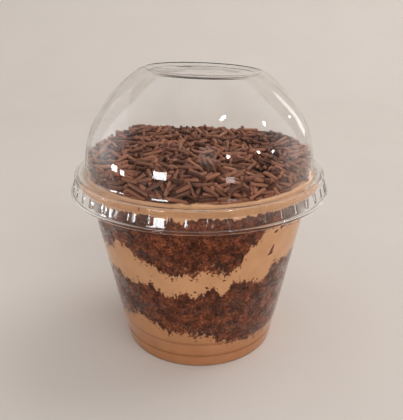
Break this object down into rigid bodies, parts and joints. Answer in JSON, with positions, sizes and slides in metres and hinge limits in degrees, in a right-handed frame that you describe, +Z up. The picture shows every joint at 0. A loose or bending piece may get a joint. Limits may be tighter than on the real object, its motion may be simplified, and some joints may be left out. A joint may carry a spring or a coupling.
{
  "type": "chocolate cake cup with a dome lid",
  "caption": "Clear tapered cup with a shut dome lid, filled with chocolate cake and mocha cream in layers under a heap of chocolate sprinkles.",
  "frame": {"origin": "middle of the cup's foot, on the surface that it stands on", "axes": "+Z up along the cup's axis, -Y towards the shown front"},
  "size_m": [0.1, 0.1, 0.1108],
  "materials": {
    "cup": "clear thin plastic, smooth and glossy",
    "lid": "clear thin plastic, smooth and glossy",
    "cream": "mocha cream, smooth with a soft sheen",
    "cake": "moist chocolate cake, porous and crumbly",
    "sprinkles": "milk chocolate sprinkles, satin"
  },
  "bodies": {
    "root": {"cup": "cup", "lid": "lid", "cream_bottom": "cream", "cake_lower": "cake", "cream_middle": "cream", "cake_upper": "cake", "cream_top": "cream", "sprinkles": "sprinkles"}
  },
  "joints": []
}
